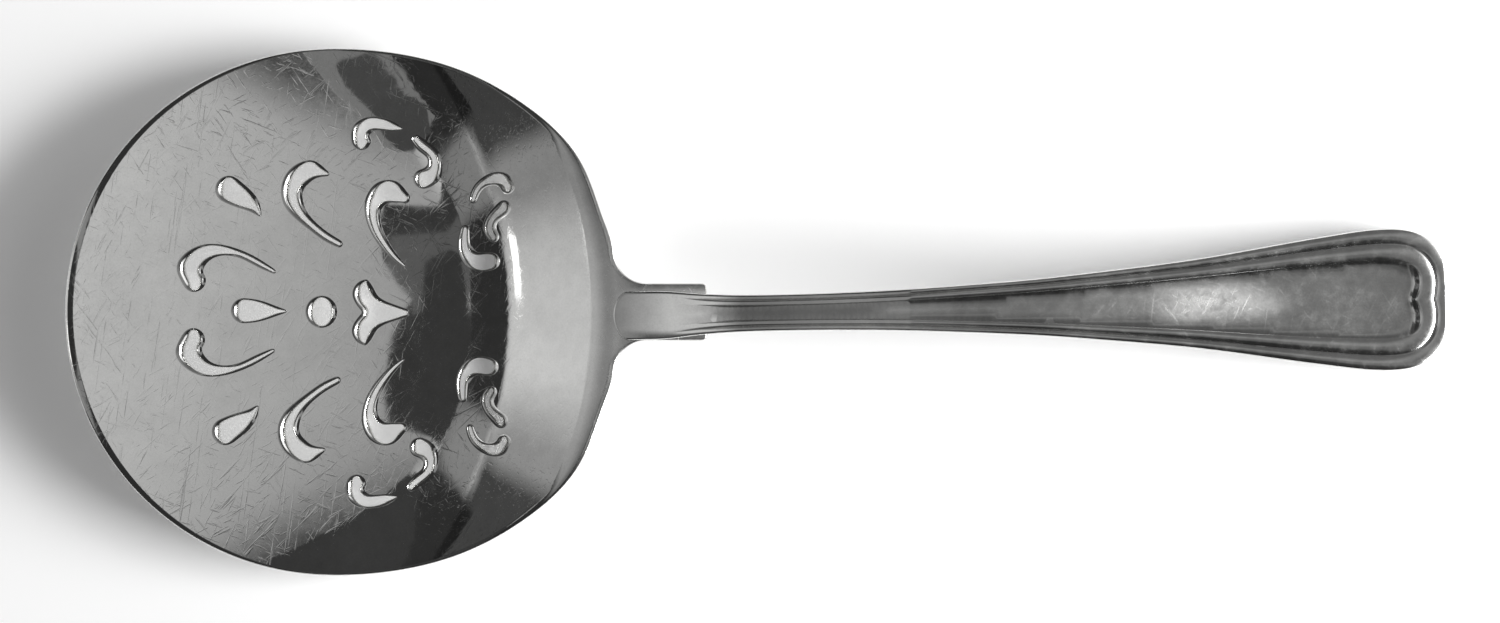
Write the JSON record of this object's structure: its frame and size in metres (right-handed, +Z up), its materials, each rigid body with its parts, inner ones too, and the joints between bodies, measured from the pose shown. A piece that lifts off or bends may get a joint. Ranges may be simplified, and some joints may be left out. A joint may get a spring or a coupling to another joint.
{
  "type": "tomato server",
  "caption": "Round pierced serving blade with a raised back lip and a tang, soldered under the tongue of a flared handle with a threaded edge.",
  "frame": {"origin": "centre of the bounding box at table level, with the server lying as it comes to rest", "axes": "+X from the blade to the handle's tip, +Y to the left when looking along +X, +Z up from the table"},
  "size_m": [0.2006, 0.0768, 0.0144],
  "materials": {
    "blade_plate": "worn silver plate with fine scratches, satin on the floor",
    "handle_plate": "worn silver plate, tarnished in the grooves of the border"
  },
  "bodies": {
    "root": {"blade": "blade_plate", "handle": "handle_plate"}
  },
  "joints": []
}
